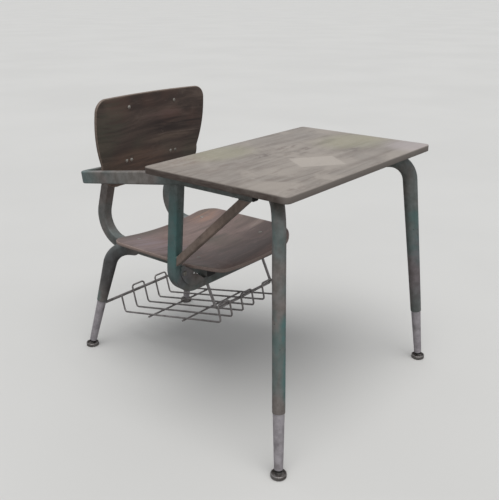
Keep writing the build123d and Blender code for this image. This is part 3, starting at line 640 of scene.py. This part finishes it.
def plywood(name, light, dark, raw, flecks, figure_offset, bands=()):
    """Moulded plywood with its grain from side to side, stained, worn and scratched.

    bands lists broad streaks: their middle, their half sizes, their shade and their strength.
    """
    g = Graph(name)
    wander = g.noise(g.place, 3.0, 2.0)
    shifted = g.new("ShaderNodeVectorMath", operation="ADD")
    drift = g.new("ShaderNodeCombineXYZ")
    slide = g.math("MULTIPLY", wander, 0.06)
    g.put(drift.inputs[1], slide)
    g.put(drift.inputs[2], slide)
    g.put(shifted.inputs[0], g.place)
    g.put(shifted.inputs[1], drift.outputs[0])

    def along_grain(scale, detail, rough, squeeze, distortion=0.0):
        where = g.stretched((1.0, squeeze, squeeze), figure_offset, source=shifted.outputs[0])
        return g.noise(where, scale, detail, rough, distortion)

    figure = along_grain(2.2, 5.0, 0.62, 9.0, 1.2)
    color = g.mix(g.range(figure, 0.36, 0.66), dark, light)
    streaks = along_grain(5.0, 6.0, 0.7, 26.0)
    color = g.mix(g.range(streaks, 0.52, 0.70, 0.0, 0.62), color, dark)
    pale = along_grain(3.6, 4.0, 0.6, 38.0)
    color = g.mix(g.range(pale, 0.60, 0.74, 0.0, 0.38), color, raw)
    pores = along_grain(26.0, 3.0, 0.6, 30.0)
    color = g.mix(g.range(pores, 0.58, 0.68, 0.0, 0.55), color, g.mix(0.5, dark, (0.01, 0.008, 0.006, 1)))
    tint = g.noise(g.place, 6.0, 2.0)
    color = g.mix(g.range(tint, 0.35, 0.50, 0.35, 0.0), color, srgb(78, 82, 66))
    color = g.mix(g.range(tint, 0.56, 0.70, 0.0, 0.30), color, srgb(118, 84, 72))
    feather = g.range(along_grain(7.0, 5.0, 0.65, 14.0), 0.40, 0.58, 0.25, 1.0)
    for centre, half_sizes, shade, strength in bands:
        band = g.math("MULTIPLY", g.blob(centre, half_sizes), feather)
        color = g.mix(g.math("MULTIPLY", band, strength), color, shade)
    worn = g.range(g.noise(g.place, 9.0, 6.0, 0.7), 0.55, 0.75, 0.0, 0.35)
    color = g.mix(worn, color, raw)
    scuffs = g.noise(g.stretched((36, 36, 160), turn=(0.0, 0.5, 0.6)), 2.0, 2.0)
    color = g.mix(g.range(scuffs, 0.70, 0.76, 0.0, 0.45), color, raw)
    color = g.mix(g.math("MULTIPLY", g.specks(26.0, 0.085, flecks), 0.9), color, srgb(176, 170, 160))
    layers = g.math("SINE", g.math("MULTIPLY", g.attribute("ply_depth"), 7 * math.pi))
    veneer = g.mix(g.range(layers, -0.4, 0.4), g.mix(0.5, raw, dark), raw)
    veneer = g.mix(g.range(g.noise(g.place, 220.0, 3.0), 0.4, 0.7, 0.0, 0.4), veneer, dark)
    color = g.mix(g.attribute("ply_edge"), color, veneer)
    rough = g.range(figure, 0.3, 0.7, 0.42, 0.58)
    grain = g.bump(g.math("ADD", pores, g.math("MULTIPLY", streaks, 0.6)), 0.22, 0.0006)
    return g.finish(color, rough, grain, Coat_Weight=0.12, Coat_Roughness=0.35)


def laminate(name):
    """Wood-print laminate, rubbed pale, with smudges, dark scuffs and yellowed patches."""
    g = Graph(name)
    base, pale, brown = srgb(143, 134, 125), srgb(158, 149, 140), srgb(114, 102, 93)
    grain = g.noise(g.stretched((1, 13, 13)), 4.0, 6.0, 0.62, 0.8)
    color = g.mix(g.range(grain, 0.36, 0.60, 0.25, 1.0), brown, base)
    fine = g.noise(g.stretched((1, 22, 22)), 24.0, 3.0, 0.6)
    color = g.mix(g.range(fine, 0.56, 0.70, 0.0, 0.22), color, brown)
    clouds = g.noise(g.stretched((1, 1.5, 1)), 7.0, 6.0, 0.62, 0.5)
    color = g.mix(g.range(clouds, 0.42, 0.60, 0.0, 0.85), color, pale)
    rubbing_and_highlight = g.noise(g.stretched((1, 2.4, 1), offset=(0.3, 0.1, 0)), 15.0, 5.0, 0.7)
    color = g.mix(g.range(rubbing_and_highlight, 0.55, 0.68, 0.0, 0.42), color, brown)
    low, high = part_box("desk_laminate")
    middle = (low + high) / 2

    def patch(x, y, half_x, half_y, shade, strength, ragged=None):
        """Soft patch of another shade, placed from the desktop's middle."""
        mask = g.blob((middle.x + x, middle.y + y, high.z), (half_x, half_y, 0.1))
        if ragged is not None:
            mask = g.math("MULTIPLY", mask, ragged)
        return g.mix(g.math("MULTIPLY", mask, strength), color, shade)

    torn = g.range(g.noise(g.stretched((1, 2.6, 1)), 26.0, 5.0, 0.7), 0.44, 0.58)
    green, dark = srgb(150, 148, 116), srgb(98, 84, 78)
    color = patch(0.22, -0.02, 0.15, 0.11, green, 0.42)
    color = patch(-0.10, 0.15, 0.13, 0.09, green, 0.42)
    color = patch(-0.22, 0.155, 0.10, 0.05, srgb(128, 112, 100), 0.60, torn)
    color = patch(-0.19, 0.045, 0.13, 0.035, srgb(126, 112, 102), 0.55, torn)
    color = patch(0.27, -0.175, 0.10, 0.10, srgb(182, 172, 172), 0.55)
    color = patch(-0.245, -0.175, 0.045, 0.020, dark, 0.40, torn)
    for x, y, half_x, half_y in ((-0.06, 0.057, 0.06, 0.022), (0.07, 0.022, 0.045, 0.012),
                                 (0.05, 0.065, 0.055, 0.018), (0.13, -0.075, 0.05, 0.020)):
        color = patch(x, y, half_x, half_y, dark, 0.75, torn)
    # a pale rubbed rectangle, skewed across the top
    scuff = g.stretched((1, 1, 1), offset=(0.026 - middle.x, 0.075 - middle.y, 0))
    turned = g.new("ShaderNodeVectorRotate", rotation_type="Z_AXIS")
    g.put(turned.inputs["Vector"], scuff)
    turned.inputs["Angle"].default_value = 0.62
    sides = g.new("ShaderNodeSeparateXYZ")
    g.put(sides.inputs[0], turned.outputs[0])
    across = g.range(g.math("ABSOLUTE", sides.outputs["X"]), 0.058, 0.050)
    down = g.range(g.math("ABSOLUTE", sides.outputs["Y"]), 0.046, 0.040)
    color = g.mix(g.math("MULTIPLY", g.math("MULTIPLY", across, down), 0.55), color, srgb(182, 173, 163))
    lines = g.noise(g.stretched((6, 170, 1), turn=(0, 0, 0.9)), 3.0, 1.0)
    more_lines = g.noise(g.stretched((170, 5, 1), turn=(0, 0, 0.3)), 3.0, 1.0)
    scratch = g.math("MAXIMUM", g.range(lines, 0.70, 0.74), g.range(more_lines, 0.70, 0.74))
    color = g.mix(g.math("MULTIPLY", scratch, 0.30), color, srgb(205, 200, 194))
    color = g.mix(g.math("MULTIPLY", g.specks(60.0, 0.10, 0.10), 0.6), color, dark)
    rough = g.range(clouds, 0.35, 0.7, 0.34, 0.56)
    skin = g.bump(g.math("ADD", g.math("MULTIPLY", fine, 0.5), scratch), 0.10, 0.0003)
    return g.finish(color, rough, skin)


def edge_strip(name):
    """Dull plastic edge moulding, brown, with painted light: lighter along the front and in a strip just
    under the top edge; also scuffed and worn pale.
    """
    g = Graph(name)
    scuffs = g.noise(g.stretched((1, 1, 6)), 40.0, 5.0, 0.7)
    front_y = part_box("desk_edge_band")[0].y
    # painted light: the moulding's front drawn lighter than its sides and back, as it faces the light more
    front_painted_light = g.range(g.along("Y"), front_y + 0.030, front_y + 0.006)
    color = g.mix(front_painted_light, srgb(78, 66, 60), srgb(122, 114, 108))
    color = g.mix(g.range(scuffs, 0.35, 0.7, 0.0, 0.45), color, srgb(126, 116, 108))
    wear = g.range(g.noise(g.place, 12.0, 5.0, 0.7), 0.52, 0.72, 0.0, 0.5)
    color = g.mix(wear, color, srgb(136, 128, 120))
    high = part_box("desk_laminate")[1].z
    # painted highlight: a lighter strip just under the moulding's top edge
    rubbing_and_highlight = g.range(g.along("Z"), high - 0.0032, high - 0.0012, 0.0, 0.55)
    color = g.mix(rubbing_and_highlight, color, srgb(164, 156, 148))
    rough = g.range(scuffs, 0.3, 0.7, 0.42, 0.62)
    return g.finish(color, rough, g.bump(scuffs, 0.15, 0.0004))


def board(name):
    """Raw particle board on the desktop's underside."""
    g = Graph(name)
    chips = g.new("ShaderNodeTexVoronoi", feature="F1")
    g.put(chips.inputs["Vector"], g.stretched((1.0, 0.55, 1.0)))
    chips.inputs["Scale"].default_value = 420.0
    tone = g.new("ShaderNodeSeparateColor")
    g.put(tone.inputs[0], chips.outputs["Color"])
    color = g.mix(tone.outputs[0], srgb(122, 98, 72), srgb(168, 142, 110))
    stain = g.range(g.noise(g.place, 9.0, 5.0, 0.65), 0.5, 0.75, 0.0, 0.5)
    color = g.mix(stain, color, srgb(92, 76, 60))
    return g.finish(color, 0.85, g.bump(chips.outputs["Distance"], 0.4, 0.0006))


def bare_metal(name, light, dark, metallic, low_rough, high_rough):
    """Dull plating with fine wear, pits and tarnish."""
    g = Graph(name)
    haze = g.noise(g.place, 45.0, 6.0, 0.65)
    color = g.mix(g.range(haze, 0.35, 0.7), light, dark)
    brushed = g.noise(g.stretched((1, 1, 0.04)), 900.0, 2.0)
    pits = g.specks(230.0, 0.20, 0.10)
    color = g.mix(g.math("MULTIPLY", pits, 0.7), color, srgb(72, 60, 50))
    grime = g.range(g.noise(g.place, 20.0, 4.0, 0.6), 0.54, 0.76, 0.0, 0.45)
    color = g.mix(grime, color, srgb(84, 76, 68))
    rough = g.range(haze, 0.3, 0.7, low_rough, high_rough)
    skin = g.bump(g.math("ADD", brushed, g.math("MULTIPLY", pits, -1.0)), 0.12, 0.0003)
    return g.finish(color, rough, skin, Metallic=metallic)


def moulded(name, tone, rough_low, rough_high):
    """Dark moulded plastic or rubber, dusty on its face."""
    g = Graph(name)
    dust = g.noise(g.place, 90.0, 5.0, 0.7)
    color = g.mix(g.range(dust, 0.45, 0.8, 0.0, 0.6), tone, srgb(84, 80, 76))
    rough = g.range(dust, 0.3, 0.7, rough_low, rough_high)
    return g.finish(color, rough, g.bump(g.noise(g.place, 700.0, 2.0), 0.3, 0.0003))


def pale_floor(name):
    """Pale floor that throws only a little light back up, as in a studio with dark surroundings."""
    g = Graph(name)
    tone = g.noise(g.place, 0.8, 3.0)
    seen = g.mix(g.range(tone, 0.3, 0.7), srgb(203, 202, 199), srgb(207, 206, 203))
    directly = g.new("ShaderNodeLightPath").outputs["Is Camera Ray"]
    return g.finish(g.mix(directly, srgb(120, 119, 117), seen), 0.75)


def teal_spots():
    """Where the older blue-green enamel shows most: on the post and on the right front leg."""
    post_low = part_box("post_cross_rail")[0]
    leg_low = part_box("leg_front_right")[0]
    arm_low, arm_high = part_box("arm_rail")
    return [
        ((post_low.x, post_low.y + 0.02, 0.44), (0.030, 0.05, 0.14), 0.85),
        ((post_low.x, post_low.y + 0.03, 0.35), (0.030, 0.05, 0.06), 0.55),
        ((leg_low.x + 0.034, leg_low.y + 0.012, 0.325), (0.024, 0.03, 0.060), 0.95),
        ((leg_low.x + 0.030, leg_low.y + 0.010, 0.225), (0.024, 0.03, 0.100), 0.95),
        ((arm_low.x + 0.04, arm_high.y - 0.02, arm_low.z + 0.02), (0.07, 0.12, 0.05), 0.35),
    ]


def paint_patches_and_shadow():
    """Patches of other greys on the frame: painted shadow low down on the rear legs, under the seat; bluer
    at the arm's corner.
    """
    leg_low, leg_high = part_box("leg_rear_right")
    far_low, far_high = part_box("leg_rear_left")
    front_low, front_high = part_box("leg_front_left")
    arm_low, arm_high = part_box("arm_rail")
    post_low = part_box("post_cross_rail")[0]
    dark, mauve = srgb(86, 85, 86), srgb(122, 114, 120)
    return [
        # painted shadow: the rear legs darker low down, where the seat shades them
        ((leg_low + leg_high) / 2, (0.07, 0.10, 0.13), dark, 0.85),
        ((far_low + far_high) / 2, (0.07, 0.10, 0.13), dark, 0.60),
        ((front_high.x - 0.02, front_low.y + 0.01, 0.30), (0.05, 0.06, 0.16), mauve, 0.6),
        ((arm_low.x, arm_high.y - 0.01, arm_low.z + 0.02), (0.06, 0.09, 0.06), srgb(120, 138, 142), 0.75),
        ((arm_low.x, 0.16, (arm_low.z + arm_high.z) / 2), (0.03, 0.13, 0.06), srgb(146, 144, 138), 0.60),
        ((post_low.x + 0.02, post_low.y + 0.04, 0.33), (0.06, 0.06, 0.05), mauve, 0.55),
    ]


def dress():
    """Give every piece its finish."""
    warm, cool, teal = srgb(129, 122, 118), srgb(113, 121, 119), srgb(78, 118, 116)
    back_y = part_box("backrest_shell")[0].y + 0.012
    seat_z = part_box("seat_shell")[1].z
    # the broad streaks seen on the back and the seat
    back_bands = [
        ((0.10, back_y, 0.625), (0.17, 0.06, 0.028), srgb(42, 31, 29), 0.85),
        ((0.07, back_y, 0.590), (0.14, 0.06, 0.016), srgb(124, 106, 92), 0.50),
        ((0.13, back_y, 0.560), (0.12, 0.06, 0.020), srgb(48, 36, 32), 0.60),
        ((-0.05, back_y, 0.540), (0.16, 0.06, 0.045), srgb(118, 92, 76), 0.55),
        ((-0.15, back_y, 0.660), (0.08, 0.06, 0.100), srgb(82, 84, 70), 0.45),
        ((0.04, back_y, 0.655), (0.10, 0.06, 0.018), srgb(108, 84, 80), 0.50),
    ]
    seat_bands = [
        ((0.13, 0.24, seat_z), (0.08, 0.05, 0.06), srgb(160, 122, 100), 0.50),
        ((-0.13, 0.16, seat_z), (0.09, 0.13, 0.06), srgb(152, 134, 140), 0.55),
        ((0.18, 0.07, seat_z), (0.10, 0.018, 0.06), srgb(176, 158, 148), 0.55),
        ((0.02, 0.02, seat_z), (0.12, 0.030, 0.06), srgb(96, 78, 72), 0.45),
    ]
    seat_shades = srgb(140, 120, 114), srgb(106, 88, 82), srgb(162, 143, 134)
    # the back's tones are the seat's plywood made darker, partly a darker stain and partly painted shade
    # for the upright back, which takes less light than the seat
    back_tones_with_painted_shade = srgb(102, 86, 77), srgb(66, 53, 48), srgb(140, 124, 112)
    brace_shades = srgb(154, 134, 122), srgb(140, 124, 114), srgb(124, 118, 112)
    finishes = {
        "frame_paint": enamel("frame_enamel", warm, cool, teal, teal_spots(), paint_patches_and_shadow()),
        "brace_paint": enamel("brace_enamel", *brace_shades, []),
        "wire_paint": bare_metal("wire_finish", srgb(156, 150, 148), srgb(122, 117, 115), 0.25, 0.36, 0.55),
        "seat_plywood": plywood("seat_wood", *seat_shades, 0.04, (0.4, 0.0, 0.0), seat_bands),
        "back_plywood": plywood("back_wood", *back_tones_with_painted_shade, 0.16, (0.0, 0.3, 0.2), back_bands),
        "desk_laminate": laminate("desk_print"),
        "desk_board": board("desk_particle_board"),
        "edge_band": edge_strip("desk_edge_strip"),
        "plated_steel": bare_metal("leg_plating", srgb(200, 194, 198), srgb(164, 158, 162),
                                   0.45, 0.34, 0.52),
        "glide_steel": bare_metal("glide_plating", srgb(150, 146, 144), srgb(110, 104, 100),
                                  0.75, 0.34, 0.55),
        "stud_steel": bare_metal("stud_plating", srgb(140, 136, 132), srgb(104, 98, 94), 0.8, 0.35, 0.5),
        "cushion_rubber": moulded("cushion_black", srgb(38, 37, 36), 0.6, 0.8),
        "black_plastic": moulded("plug_black", srgb(34, 33, 33), 0.45, 0.65),
        "bright_fasteners": bare_metal("fastener_zinc", srgb(176, 172, 164), srgb(124, 118, 110),
                                       0.7, 0.3, 0.5),
    }
    for entry in frame["record"]["subparts"]:
        for held in nodes[entry["node"]].material_slots:
            held.material = finishes[entry["material_slot"]]
    return finishes


# ---------------------------------------------------------------- studio
CAMERA_PLACE = (-1.3288, -1.1113, 0.9814)
CAMERA_TILT = 69.44
CAMERA_TURN = -51.2
CAMERA_LENS = 50.0
CAMERA_SENSOR = 36.0
FLOOR_HALF = 120.0
FAR_CLIP = 500.0
# where each sun stands, how strong it is, and how many degrees it spreads over
SUNS = {"key_light": ((-0.22, -0.24, 1.0), 1.9, 45), "fill_light": ((-0.75, -1.0, 0.55), 0.20, 70)}
SKY_STRENGTH = 0.72


def make_studio(floor_finish):
    """Floor, two soft suns, an even sky and the camera."""
    mesh = bpy.data.meshes.new("floor")
    corners = [(-FLOOR_HALF, -FLOOR_HALF, 0), (FLOOR_HALF, -FLOOR_HALF, 0), (FLOOR_HALF, FLOOR_HALF, 0),
               (-FLOOR_HALF, FLOOR_HALF, 0)]
    mesh.from_pydata(corners, [], [(0, 1, 2, 3)])
    floor = link("floor", mesh)
    mesh.materials.append(floor_finish)

    for name, (direction, strength, spread) in SUNS.items():
        light = bpy.data.lights.new(name, "SUN")
        light.energy = strength
        light.angle = math.radians(spread)
        holder = bpy.data.objects.new(name, light)
        holder.rotation_euler = Vector(direction).to_track_quat("Z", "Y").to_euler()
        bpy.context.scene.collection.objects.link(holder)

    world = bpy.data.worlds.new("studio")
    world.use_nodes = True
    sky = world.node_tree.nodes["Background"]
    sky.inputs["Color"].default_value = srgb(214, 216, 219)
    sky.inputs["Strength"].default_value = SKY_STRENGTH
    bpy.context.scene.world = world

    camera_data = bpy.data.cameras.new("camera")
    camera_data.lens = CAMERA_LENS
    camera_data.sensor_width = CAMERA_SENSOR
    camera_data.clip_end = FAR_CLIP
    camera = bpy.data.objects.new("camera", camera_data)
    camera.location = CAMERA_PLACE
    camera.rotation_euler = (math.radians(CAMERA_TILT), 0.0, math.radians(CAMERA_TURN))
    bpy.context.scene.collection.objects.link(camera)
    bpy.context.scene.camera = camera
    bpy.context.scene.view_settings.view_transform = "Standard"


def main():
    """Make the pieces, give everything its finish and set up the studio."""
    seat = make_seat()
    back = make_back()
    desk_sheet, desk_edge = make_desktop()
    welds = make_welds()
    tacks = make_tacks()
    finishes = dress()
    for piece, slot in ((seat, "seat_plywood"), (back, "back_plywood"), (desk_sheet, "desk_laminate"),
                        (desk_edge, "edge_band"), (welds, "frame_paint"), (tacks, "wire_paint")):
        piece.data.materials.append(finishes[slot])
    make_studio(pale_floor("studio_floor"))


main()
bpy.context.view_layer.update()
